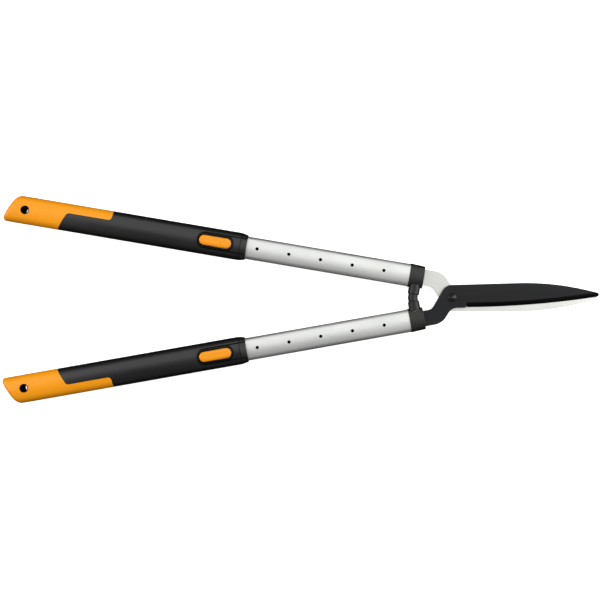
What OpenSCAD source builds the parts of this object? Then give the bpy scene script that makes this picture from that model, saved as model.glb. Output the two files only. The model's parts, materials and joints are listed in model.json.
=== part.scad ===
// Telescopic hedge shears, closed, with both handles pulled out to full length.
// X runs to the blade tips, Y to the upper handle and Z up to the lock buttons.
// A handle's own frame has x along its axis to the rear, from the foot of the
// perpendicular dropped on it from the pivot, y away from the other handle and z up.

/* [Layout] */
// Half of the angle between the two closed handles
half_angle = 9.8; // [8.8:0.1:10.8]
// Distance of each handle axis from the pivot axis
axis_offset = 23.3; // [22.3:0.1:24.3]

/* [Blades] */
// Reach of the blade tips from the pivot axis
blade_reach = 225.5; // [215:0.1:237]
// Thickness of each blade
blade_t = 3.2; // [2.8:0.1:3.6]
// Gap between the two blades
blade_gap = 0.3; // [0.2:0.05:0.4]
// Depth of the heel below the pivot axis
heel_depth = 15.2; // [14.7:0.1:16.5]
// Distance from the pivot axis to the start of the cutting edge
edge_start = 21.8; // [19:0.1:25.8]
// Depth of the cutting edge below the pivot axis at its start
edge_depth = 14.4; // [13.8:0.1:14.6]
// Distance from the pivot axis to the middle of the cutting edge's curve
edge_mid = 121.8; // [114:0.1:128]
// Rise of the cutting edge's end tangent at the tip
edge_drop = 13.8; // [13:0.1:14.6]
// Width of the ground bevel
bevel_w = 7; // [5:0.5:8]
// Thickness left at the cutting edge
edge_t = 0.5; // [0.3:0.1:0.8]
// Radius of the relief notch where the bevel starts
notch_r = 1.1; // [0.8:0.1:1.4]
// Radius of the tip
tip_r = 3.2; // [2.8:0.1:3.5]
// Height of the coated blade's spine at the pivot
coated_spine = 19.5; // [18.6:0.1:20.4]
// Distance from the pivot axis at which the coated blade's spine turns in
coated_belly = 154.8; // [147:0.1:162]
// Height of the coated blade's spine where it turns in
coated_belly_h = 23.5; // [22.6:0.1:24.4]
// Height of the coated blade's tip
coated_tip_h = 3.1; // [2.5:0.1:4]
// Height of the bare blade's spine at the pivot
bare_spine = 20.2; // [19:0.1:21]
// Distance from the pivot axis at which the bare blade's spine turns in
bare_belly = 143.8; // [137:0.1:152]
// Height of the bare blade's spine where it turns in
bare_belly_h = 20.9; // [20:0.1:21.8]
// Height of the bare blade's tip
bare_tip_h = 0.2; // [-0.5:0.1:1]
// Radius of the spine's turn
belly_r = 400; // [360:1:430]

/* [Tangs] */
// Angle of the neck that joins blade and tang
neck_angle = 59; // [57:0.5:61]
// Width of the neck
neck_w = 24.8; // [24:0.1:25.6]
// Distance of the coated blade's neck, at its centre line, behind the pivot axis
coated_neck_back = 5.4; // [4.9:0.1:6.4]
// Distance of the bare blade's neck, at its centre line, behind the pivot axis
bare_neck_back = 3.8; // [3.4:0.1:4.8]
// Width of the tang
tang_w = 24; // [22:0.1:25]
// Distance of the tang's centre line outside the handle axis
tang_out = 0.8; // [0:0.1:1]
// Length of the tang behind the collar
tang_in = 32; // [26:1:34]
// Radius of the neck's outer shoulder
shoulder_r = 25.5; // [22:0.5:29]
// Radius of the neck's inner bend at the heel
heel_r = 17; // [14:1:18]
// Radius of the neck's inner bend at the tang
crook_r = 11; // [9:0.5:13]
// Radius of the corner between neck and spine
nape_r = 16; // [12:1:18]

/* [Pivot] */
// Diameter of the bolt's shank
bolt_d = 8; // [7:0.5:8.5]
// Width across the flats of the bolt's head at its foot
head_af = 10; // [9.4:0.1:10.6]
// Width across the flats of the bolt's head at its top
head_top_af = 3.4; // [3:0.1:4.5]
// Height of the flats of the bolt's head above its flange
head_h = 2; // [1.5:0.1:2.5]
// Height of the faceted crown on the bolt's head
crown_h = 2.2; // [1.8:0.1:2.6]
// Diameter of the bolt's flange
flange_d = 13.8; // [13:0.1:15]
// Thickness of the bolt's flange
flange_t = 1.2; // [1:0.1:1.6]
// Width of the slope round the bolt's flange
flange_slope = 0.9; // [0.6:0.1:1.1]
// Wall of the bush
bush_wall = 1.2; // [1:0.1:1.4]
// Clearance round the bush in the turning blade
turn_gap = 0.06; // [0.04:0.01:0.1]
// Diameter of the spring washer
washer_d = 18; // [16:0.5:20]
// Thickness of the spring washer
washer_t = 1.2; // [1:0.1:1.5]
// Width of the nut across its flats
nut_af = 13; // [12.5:0.1:14]
// Height of the nut
nut_h = 5.5; // [5:0.1:6]

/* [Tubes] */
// Width of the tube
tube_w = 34.7; // [33.5:0.1:35.2]
// Thickness of the tube
tube_t = 19; // [18:0.1:19.4]
// Radius of the tube's narrow sides
tube_r = 8; // [7.2:0.1:8.4]
// Wall of the tube
tube_wall = 1.6; // [1.2:0.1:2]
// Distance from the pivot to the first lock hole
first_hole = 110.2; // [109.2:0.1:114]
// Number of lock holes
hole_count = 6; // [5:1:6]
// Distance between lock holes
hole_pitch = 49; // [46:0.5:50]
// Diameter of a lock hole
hole_d = 5; // [4.8:0.1:5.4]
// Length of tube behind the last lock hole
tail_len = 39; // [34:1:42]
// Length of the tail guide's plug
guide_plug = 14; // [10:1:18]
// Length of the tail guide's flange
guide_rim = 4; // [3:0.5:5]

/* [Collars] */
// Distance from the pivot to the collar's front
collar_front = 48; // [47.4:0.1:49.2]
// Length of the collar
collar_len = 22.3; // [21.8:0.1:22.8]
// How far the collar stands out from the tube at its rear
collar_step = 0.95; // [0.7:0.05:1.2]
// How far the collar narrows to its front on each side
collar_taper = 1.2; // [0.8:0.1:1.6]
// Length of the spigot in the tube
spigot_len = 36; // [34:0.5:37]
// Distance of the rivet behind the collar
rivet_in = 20; // [14:1:24]
// Diameter of the rivet
rivet_d = 5; // [4:0.1:6]
// Depth of the rivet into the tube and spigot
rivet_depth = 5; // [4:0.1:6]
// Radius of the bumper's base
bumper_r = 8.7; // [8.2:0.1:9]
// Radius of the bumper's tip
bumper_tip_r = 7.4; // [7:0.1:7.8]
// Length of the bumper's tip
bumper_tip_len = 5.4; // [4.5:0.1:6]
// Depth of the bumper's seat below the collar's side
bumper_seat = 5.6; // [4.5:0.1:5.8]
// Rounding of the bumper's base
bumper_round = 1.1; // [0.8:0.1:1.4]
// Depth of the groove between the bumper's base and tip
bumper_neck = 0.4; // [0.3:0.1:0.6]
// Gap between the two bumpers when closed
bumper_gap = 0.2; // [0.2:0.1:0.6]

/* [Grips] */
// Width of the grip
grip_w = 42.6; // [41.8:0.1:44]
// Thickness of the grip
grip_t = 31; // [30.4:0.1:32]
// Radius of the grip's narrow sides
grip_r = 14.2; // [13:0.1:14.6]
// Distance from the grip's front end to the lock hole
lock_in = 32.5; // [31.5:0.1:34]
// Length of the grip along its axis
grip_len = 368.3; // [366:0.1:376]
// Slant of the grip's rear end and of the sleeve's rear edge
end_slant = 24.6; // [22:0.1:28]
// Rounding of the grip's rear end
end_round = 8; // [6:0.5:9]
// Length of the nose
nose_len = 10.2; // [9:0.1:11.5]
// How far the nose narrows on each side
nose_taper = 2; // [1.5:0.1:2.2]
// Rounding of the nose's front edge
nose_round = 1; // [0.6:0.1:1.2]
// Depth of the nose's seat on the core
nose_seat = 4; // [3:0.5:5]
// Thickness of the sleeve
sleeve_t = 2.2; // [1.9:0.1:2.2]
// Length of the orange end, on the grip's axis
end_len = 88.8; // [84:0.1:94]
// Length of the orange tongue in front of the orange end
tongue_len = 70.6; // [56:0.1:80]
// Distance of the tongue's edge outside the grip's axis
tongue_out = 5.4; // [2:0.1:8]
// Rounding of the tongue's two corners
tongue_round = 5.5; // [4:0.5:7]
// Distance of the hanging hole from the grip's rear end
hang_in = 27; // [25:0.5:28]
// Distance of the hanging hole from the grip's axis, towards the other handle
hang_side = 0.7; // [0:0.1:1.2]
// Diameter of the hanging hole
hang_d = 10.8; // [10.3:0.1:11.5]
// Wall of the eyelet in the hanging hole
eyelet_wall = 1.2; // [1:0.1:1.4]
// Width of the panel lines on the grip's front end
line_w = 1.2; // [0.8:0.1:1.4]
// Depth of the panel lines
line_depth = 1.3; // [0.9:0.1:1.6]
// Size of the chamfer that marks the seam between nose and sleeve
seam_w = 0.8; // [0.5:0.1:1]
// Clearance round the tube in the grip
slide_gap = 0.3; // [0.25:0.05:0.35]
// Clearance between pieces that are fixed together
fit_gap = 0.05; // [0.02:0.01:0.1]

/* [Lock] */
// Length of the button
button_l = 49; // [47:0.5:51]
// Width of the button
button_w = 15.1; // [14.5:0.1:16]
// Distance from the lock pin to the button's front end
button_lead = 9; // [8:0.5:10]
// Distance from the lock pin to the axis on which the button rocks
pin_arm = 24; // [22:0.5:26]
// Angle through which the button rocks
press_angle = 5; // [4:0.5:5]
// How far the button stands above the grip
button_rise = 0.3; // [0.1:0.1:0.8]
// Depth of the finger dimples in the button
dimple_depth = 0.6; // [0.4:0.1:0.8]
// Radius of the finger dimples
dimple_r = 26; // [20:1:32]
// Gap round the button at the surface
groove_w = 1.7; // [1.4:0.1:2.4]
// Clearance round the button below the surface
button_gap = 0.6; // [0.5:0.1:0.8]
// Width of the tray's rim round the gap
rim_w = 2; // [1.6:0.1:2.2]
// Floor of the tray below the spring
tray_floor = 0.6; // [0.5:0.1:0.8]
// Diameter of the cross pin
button_pin_d = 1.8; // [1.6:0.1:2]
// Wall of the button round the cross pin
boss_wall = 0.5; // [0.4:0.1:0.6]
// Diameter of the lock pin
lock_pin_d = 4.6; // [4.2:0.1:4.7]
// Thickness of the leaf spring
leaf_t = 0.4; // [0.3:0.1:0.5]
// Width of the leaf spring
leaf_w = 8; // [6:0.5:10]
// Length of the leaf spring
leaf_l = 12; // [10:0.5:13]

/* [Hidden] */
$fn = 64;
upper = 1;
lower = 0;
oval_step = 8;
corner_step = 8;
chord_max = 14;
eps = 0.01;

blade_z = blade_gap / 2;
collar_rear = collar_front + collar_len;
tang_end = collar_rear + tang_in;
lock_u = first_hole + (hole_count - 1) * hole_pitch;
travel = (hole_count - 1) * hole_pitch;
tube_end = lock_u + tail_len;
grip_front = lock_u - lock_in;
grip_end = grip_front + grip_len;
nose_rear = grip_front + nose_len;
core_front = nose_rear - nose_seat;
sleeve_end = grip_end - end_len;
end_straight = grip_end - tan(end_slant) * grip_w / 2 - end_round;
bore_end = tube_end + guide_rim + travel + 4 * slide_gap;
hang_u = grip_end - hang_in;
bumper_u = collar_front + collar_len / 2;
bumper_end = axis_offset + bumper_u * tan(half_angle);
bumper_start = tube_w / 2 + collar_step - bumper_seat;

button_u = lock_u - button_lead + button_l / 2;
rock_u = lock_u + pin_arm;
boss_r = button_pin_d / 2 + boss_wall;
tray_z = tube_t / 2 + slide_gap + 2 * fit_gap;
rock_z = tray_z + boss_r + 2 * fit_gap;
groove_z = rock_z + boss_r - boss_wall / 3;
button_rear = button_u + button_l / 2;
press_depth = (button_rear - rock_u) * sin(press_angle);
rear_under = tray_z + tray_floor + press_depth + 4 * fit_gap;
front_under = tray_z + tray_floor;
tray_l = button_l + 2 * groove_w + 2 * rim_w;
tray_w = button_w + 2 * groove_w + 2 * rim_w;
end_sag = button_w / 2 - sqrt(pow(button_w / 2, 2) - pow(leaf_w / 2, 2));
leaf_u = button_rear - end_sag - leaf_l / 2 - 2 * fit_gap;
leaf_z = tray_z + tray_floor + fit_gap;
leaf_rise = rear_under - leaf_z - leaf_t - fit_gap;

// Unit vector from a to b
function toward(a, b) = (b - a) / norm(b - a);

// Direction of a given angle
function heading(angle) = [cos(angle), sin(angle)];

// Point where the line through p in direction d meets the line through q in direction e
function meet(p, d, q, e) = p + d * cross(q - p, e) / cross(d, e);

// Angle through which a path turns at b on its way from a to c
function turn(a, b, c) = acos(toward(a, b) * toward(b, c));

// Centre of the arc of radius r that rounds corner b of the path from a to c
function arc_centre(a, b, c, r) =
  let (inward = toward(b, a) + toward(b, c))
  b + inward / norm(inward) * r / cos(turn(a, b, c) / 2);

// Points of that arc, in the path's order
function arc_points(a, b, c, r) =
  let (
    sweep = turn(a, b, c),
    side = sign(cross(b - a, c - b)),
    centre = arc_centre(a, b, c, r),
    middle = b - centre,
    start = atan2(middle[1], middle[0]) - side * sweep / 2,
    steps = ceil(max(sweep / corner_step, r * sweep * PI / 180 / chord_max))
  )
  [for (i = [0:steps]) centre + r * heading(start + side * sweep * i / steps)];

// Closed outline through corners [point, radius], each rounded by its radius
function rounded(corners) =
  let (n = len(corners))
  [for (i = [0:n - 1])
    let (
      a = corners[(i + n - 1) % n][0],
      b = corners[i][0],
      c = corners[(i + 1) % n][0],
      r = corners[i][1]
    )
    each r > 0 ? arc_points(a, b, c, r) : [b]];

// Oval of width w and thickness t, made of two flat arcs and two end arcs of radius r
function oval(w, t, r) =
  let (
    end = w / 2 - r,
    flat = (end * end + t * t / 4 - r * r) / (t - 2 * r),
    split = atan2(flat - t / 2, end)
  )
  [for (k = [0:3]) each oval_arc(k, w, t, r, end, flat, split)];

// Arc k of the oval: right end, upper flat, left end, lower flat
function oval_arc(k, w, t, r, end, flat, split) =
  let (
    is_end = k % 2 == 0,
    half = is_end ? split : 90 - split,
    radius = is_end ? r : flat,
    centre = (is_end ? end : t / 2 - flat) * heading(90 * k)
  )
  let (steps = ceil(2 * half / oval_step))
  [for (i = [0:steps - 1]) centre + radius * heading(90 * k - half + 2 * half * i / steps)];

function tube_oval(grow) = oval(tube_w + 2 * grow, tube_t + 2 * grow, tube_r + grow);
function grip_oval(grow) = oval(grip_w + 2 * grow, grip_t + 2 * grow, grip_r + grow);

// Ring of an oval at distance u along the handle, slanted back towards the other handle
function ring(u, points, slant = 0) = [for (p = points) [u - slant * p[0], p[0], p[1]]];

// Place in the plane of the pivot of a point at distance u along the lower handle and v off its axis
function on_lower(u, v) =
  [v * sin(half_angle) + axis_offset * sin(half_angle) - u * cos(half_angle),
   -(v + axis_offset) * cos(half_angle) - u * sin(half_angle)];

// Corners of a blade with its tang, seen from its outer face with the cutting edge below
edge_corner = [edge_mid, -edge_drop];
edge_from = [edge_start, -edge_depth];
function tip_corner(tip_h) = [blade_reach + 4 * tip_r, tip_h];

// Largest radius at corner b of the path from a to the tip that leaves the tip its own rounding
function radius_room(a, b, tip) =
  0.96 * min(norm(b - a), norm(tip - b) - 6 * tip_r) / tan(turn(a, b, tip) / 2);
function edge_radius(tip_h) = radius_room(edge_from, edge_corner, tip_corner(tip_h));

function blade_outline(neck_back, spine, belly, belly_h, tip_h) =
  let (
    along = -heading(half_angle),
    neck = heading(neck_angle),
    across = heading(neck_angle - 90),
    tang_outer = on_lower(tang_end, tang_out + tang_w / 2),
    tang_inner = on_lower(tang_end, tang_out - tang_w / 2),
    neck_outer = across * (neck_w / 2 - neck_back),
    neck_inner = across * (-neck_w / 2 - neck_back),
    spine_way = [belly, belly_h - spine],
    nape = meet(neck_inner, neck, [0, spine], spine_way),
    crown = [belly, belly_h]
  )
  rounded([
    [tang_outer, crook_r / 4],
    [meet(tang_outer, along, neck_outer, neck), shoulder_r],
    [meet(neck_outer, neck, [0, -heel_depth], [1, 0]), heel_r],
    [[edge_start, -heel_depth], 0],
    [edge_from, 0],
    [edge_corner, edge_radius(tip_h)],
    [tip_corner(tip_h), tip_r],
    [crown, min(belly_r, radius_room(nape, crown, tip_corner(tip_h)))],
    [nape, nape_r],
    [meet(tang_inner, along, neck_inner, neck), crook_r],
    [tang_inner, crook_r / 4]
  ]);

coated_outline =
  blade_outline(coated_neck_back, coated_spine, coated_belly, coated_belly_h, coated_tip_h);
bare_outline = blade_outline(bare_neck_back, bare_spine, bare_belly, bare_belly_h, bare_tip_h);

// Rings of the grip's slanted and rounded rear end
rear_rings = [for (a = [0:22.5:90])
  ring(grip_end - end_round * (1 - sin(a)), grip_oval(-end_round * (1 - cos(a))), tan(end_slant))];

// The model's box is centred on the origin in X and stands on Z = 0
front_x = max([for (p = concat(coated_outline, bare_outline)) p[0]]);
rear_x = min([for (r = rear_rings) for (p = r) on_lower(p[0], p[1])[0]]);
origin = [-(front_x + rear_x) / 2, 0, grip_t / 2];

// Moves a handle's own frame to its place
module on_handle(side) {
  translate(origin)
    mirror([0, side, 0])
      rotate([0, 0, 180 + half_angle])
        translate([0, axis_offset, 0])
          children();
}

// Solid through rings of equal point count, in order along x
module loft(rings) {
  n = len(rings[0]);
  last = len(rings) - 1;
  sides = [for (k = [0:last - 1]) for (i = [0:n - 1])
    let (a = k * n + i, b = k * n + (i + 1) % n)
    each [[a, a + n, b + n], [a, b + n, b]]];
  front = [for (i = [0:n - 1]) i];
  rear = [for (i = [n - 1:-1:0]) last * n + i];
  polyhedron([for (r = rings) each r], concat([front, rear], sides));
}

// Oval bar along the handle from u0 to u1
module bar(points, u0, u1) {
  translate([u0, 0, 0])
    rotate([90, 0, 90])
      linear_extrude(u1 - u0)
        polygon(points);
}

// Upright slot-shaped block of length l and width w about u, between two heights
module slot(l, w, u, z0, z1) {
  for (x = [-1, 1])
    translate([u + x * (l - w) / 2, 0, z0])
      cylinder(d = w, h = z1 - z0);
  translate([u - (l - w) / 2, -w / 2, z0])
    cube([l - w, w, z1 - z0]);
}

// Part of the grip's plan that is orange: the rear end and its tongue
module orange_plan() {
  slope = tan(end_slant);
  far = grip_w;
  tongue_u = sleeve_end - tongue_len;
  polygon(rounded([
    [[sleeve_end + slope * far, -far], 0],
    [[sleeve_end - slope * tongue_out, tongue_out], tongue_round],
    [[tongue_u, tongue_out], tongue_round],
    [[tongue_u, far], 0],
    [[grip_end + far, far], 0],
    [[grip_end + far, -far], 0]
  ]));
}

module orange_region() {
  translate([0, 0, -grip_t])
    linear_extrude(2 * grip_t)
      orange_plan();
}

// Lengthwise lines on the upper face of the grip's front end
module panel_lines() {
  line_v = tray_w / 2;
  difference() {
    for (v = [-line_v, line_v])
      translate([grip_front - eps, v - line_w / 2, 0])
        cube([nose_len + lock_in, line_w, grip_t]);
    loft([
      ring(grip_front - 2 * eps, grip_oval(-nose_taper - line_depth)),
      ring(nose_rear, grip_oval(-line_depth)),
      ring(nose_rear + lock_in, grip_oval(-line_depth))
    ]);
  }
}

// Ground bevel to be taken off the outer face of a blade
module bevel_cut(tip_h) {
  r = edge_radius(tip_h);
  tip = tip_corner(tip_h);
  centre = arc_centre(edge_from, edge_corner, tip, r);
  from = edge_from - centre;
  to = tip - centre;
  first = atan2(from[1], from[0]);
  span = atan2(to[1], to[0]) - first;
  past = 3 * edge_t;
  drop = (blade_t - edge_t) * (1 + past / bevel_w);
  translate(centre)
    rotate([0, 0, first])
      rotate_extrude(angle = span, $fn = 1440)
        polygon([
          [r - bevel_w, blade_t],
          [r + past, blade_t - drop],
          [r + past, blade_t + edge_t],
          [r - bevel_w, blade_t + edge_t]
        ]);
}

// A blade with its inner face on z = 0 and a bore of radius bore_r at the pivot
module blade(outline, tip_h, bore_r) {
  difference() {
    linear_extrude(blade_t)
      polygon(outline);
    bevel_cut(tip_h);
    translate([0, 0, -eps])
      cylinder(r = bore_r, h = blade_t + 2 * eps);
    translate([edge_start, -edge_depth, -eps])
      cylinder(r = notch_r, h = blade_t + 2 * eps);
  }
}

bush_r = bolt_d / 2 + fit_gap + bush_wall;

module coated_blade() {
  color("#2c2d2f")
    translate(origin + [0, 0, blade_z])
      blade(coated_outline, coated_tip_h, bush_r + fit_gap);
}

module bare_blade() {
  color("#d9dbd6")
    translate(origin - [0, 0, blade_z])
      rotate([180, 0, 0])
        blade(bare_outline, bare_tip_h, bush_r + turn_gap);
}

module pivot_bolt() {
  shank_end = -blade_z - blade_t - washer_t - blade_gap - nut_h;
  foot = blade_z + blade_t;
  color("#26272a")
    translate(origin) {
      translate([0, 0, shank_end])
        cylinder(d = bolt_d, h = foot - shank_end);
      translate([0, 0, foot])
        cylinder(d1 = flange_d, d2 = flange_d - 2 * flange_slope, h = flange_t);
      translate([0, 0, foot + flange_t])
        cylinder(d = head_af / cos(30), h = head_h, $fn = 6);
      translate([0, 0, foot + flange_t + head_h])
        cylinder(d1 = head_af / cos(30), d2 = head_top_af / cos(30), h = crown_h, $fn = 6);
    }
}

module pivot_bush() {
  color("#b08d57")
    translate(origin - [0, 0, blade_z + blade_t])
      difference() {
        cylinder(r = bush_r, h = 2 * blade_t + blade_gap);
        translate([0, 0, -eps])
          cylinder(d = bolt_d + 2 * fit_gap, h = 2 * blade_t + blade_gap + 2 * eps);
      }
}

module spring_washer() {
  top = -blade_z - blade_t;
  color("#8f9296")
    translate(origin + [0, 0, top - washer_t])
      rotate_extrude()
        polygon([
          [bolt_d / 2 + fit_gap, 0],
          [bush_r + blade_gap, 0],
          [washer_d / 2, washer_t / 2 - blade_gap],
          [washer_d / 2, washer_t - blade_gap],
          [bush_r + blade_gap, washer_t - blade_gap],
          [bush_r, washer_t],
          [bolt_d / 2 + fit_gap, washer_t]
        ]);
}

module pivot_nut() {
  color("#8f9296")
    translate(origin - [0, 0, blade_z + blade_t + washer_t + nut_h])
      difference() {
        intersection() {
          cylinder(d = nut_af / cos(30), h = nut_h, $fn = 6);
          cylinder(r1 = nut_af / 2, r2 = nut_af / 2 + 2 * nut_h, h = nut_h);
        }
        translate([0, 0, -eps])
          cylinder(d = bolt_d + 2 * fit_gap, h = nut_h + 2 * eps);
      }
}

module tube() {
  color("#d4d6d2")
    difference() {
      bar(tube_oval(0), collar_rear, tube_end);
      bar(tube_oval(-tube_wall), collar_rear - eps, tube_end + eps);
      for (i = [0:hole_count - 1])
        translate([first_hole + i * hole_pitch, 0, 0])
          cylinder(d = hole_d, h = tube_t);
      translate([collar_rear + rivet_in, 0, -tube_t])
        cylinder(d = rivet_d + 2 * fit_gap, h = tube_t);
    }
}

// Room for the tang in the collar and its spigot; the coated blade's lies above the middle plane
module tang_room(side) {
  z = side == upper ? -blade_z - blade_t : blade_z;
  translate([collar_front - eps, tang_out - tang_w / 2 - fit_gap, z - fit_gap])
    cube([tang_end - collar_front + fit_gap + eps, tang_w + 2 * fit_gap, blade_t + 2 * fit_gap]);
}

module collar(side) {
  color("#3a3a38")
    difference() {
      union() {
        loft([
          ring(collar_front, tube_oval(collar_step - collar_taper - nose_round / 2)),
          ring(collar_front + nose_round / 2, tube_oval(collar_step - collar_taper)),
          ring(collar_rear, tube_oval(collar_step))
        ]);
        bar(tube_oval(-tube_wall - fit_gap), collar_rear, collar_rear + spigot_len);
      }
      tang_room(side);
      translate([bumper_u, -bumper_start, 0])
        rotate([90, 0, 0])
          cylinder(r = bumper_r + fit_gap, h = tube_w);
      translate([collar_rear + rivet_in, 0, -tube_t])
        cylinder(d = rivet_d + 2 * fit_gap, h = tube_t / 2 + rivet_depth + 4 * fit_gap);
    }
}

// Half of the bumper's section, from its axis out, as distance from the handle axis
module bumper_half() {
  step = bumper_end - bumper_tip_len;
  polygon(rounded([
    [[0, bumper_start + fit_gap], 0],
    [[bumper_r, bumper_start + fit_gap], 0],
    [[bumper_r, step], bumper_round],
    [[bumper_tip_r - bumper_neck, step], 0],
    [[bumper_tip_r - bumper_neck, step + bumper_neck], 0],
    [[bumper_tip_r, step + 2 * bumper_neck], bumper_neck],
    [[bumper_tip_r, bumper_end + bumper_tip_r], 0],
    [[0, bumper_end + bumper_tip_r], 0]
  ]));
}

module bumper(side) {
  color("#3c3c39")
    difference() {
      on_handle(side)
        translate([bumper_u, 0, 0])
          rotate([90, 0, 0])
            rotate_extrude()
              bumper_half();
      mirror([0, side, 0])
        translate([origin[0] - collar_rear - tube_w, -bumper_gap / 2, 0])
          cube([collar_rear + 2 * tube_w, tube_w, grip_t]);
    }
}

module rivet() {
  color("#a9aca8")
    translate([collar_rear + rivet_in, 0, -tube_t / 2 + 2 * fit_gap])
      cylinder(d = rivet_d, h = rivet_depth);
}

module tail_guide() {
  color("#2a2a2a")
    difference() {
      union() {
        bar(tube_oval(-tube_wall - fit_gap), tube_end - guide_plug, tube_end);
        bar(tube_oval(slide_gap / 3), tube_end, tube_end + guide_rim);
      }
      bar(tube_oval(-2 * tube_wall - fit_gap), tube_end - guide_plug - eps, tube_end + guide_rim + eps);
    }
}

module grip_core() {
  color("#f49a22")
    difference() {
      union() {
        bar(grip_oval(-sleeve_t), core_front, end_straight);
        intersection() {
          bar(grip_oval(0), nose_rear, end_straight);
          orange_region();
        }
        loft(concat([ring(end_straight, grip_oval(0))], rear_rings));
      }
      bar(tube_oval(slide_gap), core_front - eps, bore_end);
      slot(tray_l + 2 * fit_gap, tray_w + 2 * fit_gap, button_u, 0, grip_t);
      translate([hang_u, -hang_side, -grip_t])
        cylinder(d = hang_d + 2 * eyelet_wall + 2 * fit_gap, h = 2 * grip_t);
    }
}

module grip_sleeve() {
  color("#2b2a2a")
    difference() {
      bar(grip_oval(0), nose_rear, end_straight);
      bar(grip_oval(-sleeve_t), nose_rear - eps, end_straight + eps);
      orange_region();
      slot(tray_l + 2 * fit_gap, tray_w + 2 * fit_gap, button_u, 0, grip_t);
      panel_lines();
    }
}

module grip_nose() {
  color("#333332")
    difference() {
      loft([
        ring(grip_front, grip_oval(-nose_taper - nose_round)),
        ring(grip_front + nose_round / 3, grip_oval(-nose_taper - nose_round / 3)),
        ring(grip_front + nose_round, grip_oval(-nose_taper)),
        ring(nose_rear - seam_w, grip_oval(0)),
        ring(nose_rear, grip_oval(-seam_w))
      ]);
      bar(tube_oval(slide_gap), grip_front - eps, nose_rear + eps);
      bar(grip_oval(-sleeve_t), core_front, nose_rear + eps);
      panel_lines();
    }
}

module lock_tray() {
  cavity_l = button_l + 2 * button_gap;
  cavity_w = button_w + 2 * button_gap;
  color("#1d1d1e")
    difference() {
      intersection() {
        slot(tray_l, tray_w, button_u, tray_z, grip_t);
        bar(grip_oval(0), nose_rear, end_straight);
      }
      slot(button_l + 2 * groove_w, button_w + 2 * groove_w, button_u, groove_z, grip_t);
      slot(cavity_l, cavity_w, button_u, tray_z + tray_floor, grip_t);
      intersection() {
        slot(cavity_l, cavity_w, button_u, tray_z - eps, grip_t);
        translate([0, -tray_w, 0])
          cube([leaf_u - leaf_l / 2 - button_gap, 2 * tray_w, grip_t]);
      }
      translate([rock_u, 0, rock_z])
        rotate([90, 0, 0])
          cylinder(d = button_pin_d + 2 * fit_gap, h = tray_w + eps, center = true);
    }
}

module lock_button() {
  far = grip_t;
  color("#fb9b23")
    difference() {
      union() {
        intersection() {
          slot(button_l, button_w, button_u, front_under, grip_t);
          bar(grip_oval(button_rise), nose_rear, end_straight);
          rotate([90, 0, 0])
            linear_extrude(2 * far, center = true)
              polygon([
                [lock_u - far, 0],
                [rock_u, 0],
                [rock_u, rear_under],
                [rock_u + far, rear_under],
                [rock_u + far, far],
                [lock_u - far, far]
              ]);
        }
        translate([rock_u, 0, rock_z])
          rotate([90, 0, 0])
            cylinder(r = boss_r, h = button_w - boss_wall, center = true);
      }
      translate([rock_u, 0, rock_z])
        rotate([90, 0, 0])
          cylinder(d = button_pin_d + 2 * turn_gap, h = far, center = true);
      translate([lock_u, 0, 0])
        cylinder(d = lock_pin_d + 2 * fit_gap, h = rear_under);
      for (x = [-1, 1])
        translate([button_u + x * (button_l - button_w) / 2, 0,
                   grip_t / 2 + button_rise - dimple_depth + dimple_r])
          sphere(r = dimple_r);
    }
}

module lock_pin() {
  foot = tube_t / 2 + slide_gap;
  color("#b9bcb8")
    translate([lock_u, 0, foot])
      cylinder(d = lock_pin_d, h = rear_under - foot - fit_gap);
}

module button_pin() {
  color("#b9bcb8")
    translate([rock_u, 0, rock_z])
      rotate([90, 0, 0])
        cylinder(d = button_pin_d, h = tray_w, center = true);
}

module button_spring() {
  r = (leaf_l * leaf_l / 4 + leaf_rise * leaf_rise) / (2 * leaf_rise);
  color("#c2c5c1")
    intersection() {
      translate([leaf_u, 0, leaf_z + leaf_rise - r])
        rotate([90, 0, 0])
          difference() {
            cylinder(r = r + leaf_t, h = leaf_w, center = true);
            cylinder(r = r, h = leaf_w + eps, center = true);
          }
      translate([leaf_u - leaf_l / 2, -leaf_w, leaf_z])
        cube([leaf_l, 2 * leaf_w, leaf_rise + leaf_t + eps]);
    }
}

module hang_eyelet() {
  color("#1f1f20")
    intersection() {
      translate([hang_u, -hang_side, -grip_t])
        difference() {
          cylinder(d = hang_d + 2 * eyelet_wall, h = 2 * grip_t);
          translate([0, 0, -eps])
            cylinder(d = hang_d, h = 2 * grip_t + 2 * eps);
        }
      bar(grip_oval(0), nose_rear, grip_end);
    }
}

coated_blade();
bare_blade();
pivot_bolt();
pivot_bush();
spring_washer();
pivot_nut();
on_handle(lower) tube();  // lower_tube
on_handle(lower) collar(lower);  // lower_collar
bumper(lower);  // lower_bumper
on_handle(lower) rivet();  // lower_rivet
on_handle(lower) tail_guide();  // lower_tail_guide
on_handle(lower) grip_core();  // lower_grip_core
on_handle(lower) grip_sleeve();  // lower_grip_sleeve
on_handle(lower) grip_nose();  // lower_grip_nose
on_handle(lower) lock_tray();  // lower_lock_tray
on_handle(lower) lock_button();  // lower_lock_button
on_handle(lower) lock_pin();  // lower_lock_pin
on_handle(lower) button_pin();  // lower_button_pin
on_handle(lower) button_spring();  // lower_button_spring
on_handle(lower) hang_eyelet();  // lower_hang_eyelet
on_handle(upper) tube();  // upper_tube
on_handle(upper) collar(upper);  // upper_collar
bumper(upper);  // upper_bumper
on_handle(upper) rivet();  // upper_rivet
on_handle(upper) tail_guide();  // upper_tail_guide
on_handle(upper) grip_core();  // upper_grip_core
on_handle(upper) grip_sleeve();  // upper_grip_sleeve
on_handle(upper) grip_nose();  // upper_grip_nose
on_handle(upper) lock_tray();  // upper_lock_tray
on_handle(upper) lock_button();  // upper_lock_button
on_handle(upper) lock_pin();  // upper_lock_pin
on_handle(upper) button_pin();  // upper_button_pin
on_handle(upper) button_spring();  // upper_button_spring
on_handle(upper) hang_eyelet();  // upper_hang_eyelet
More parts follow.
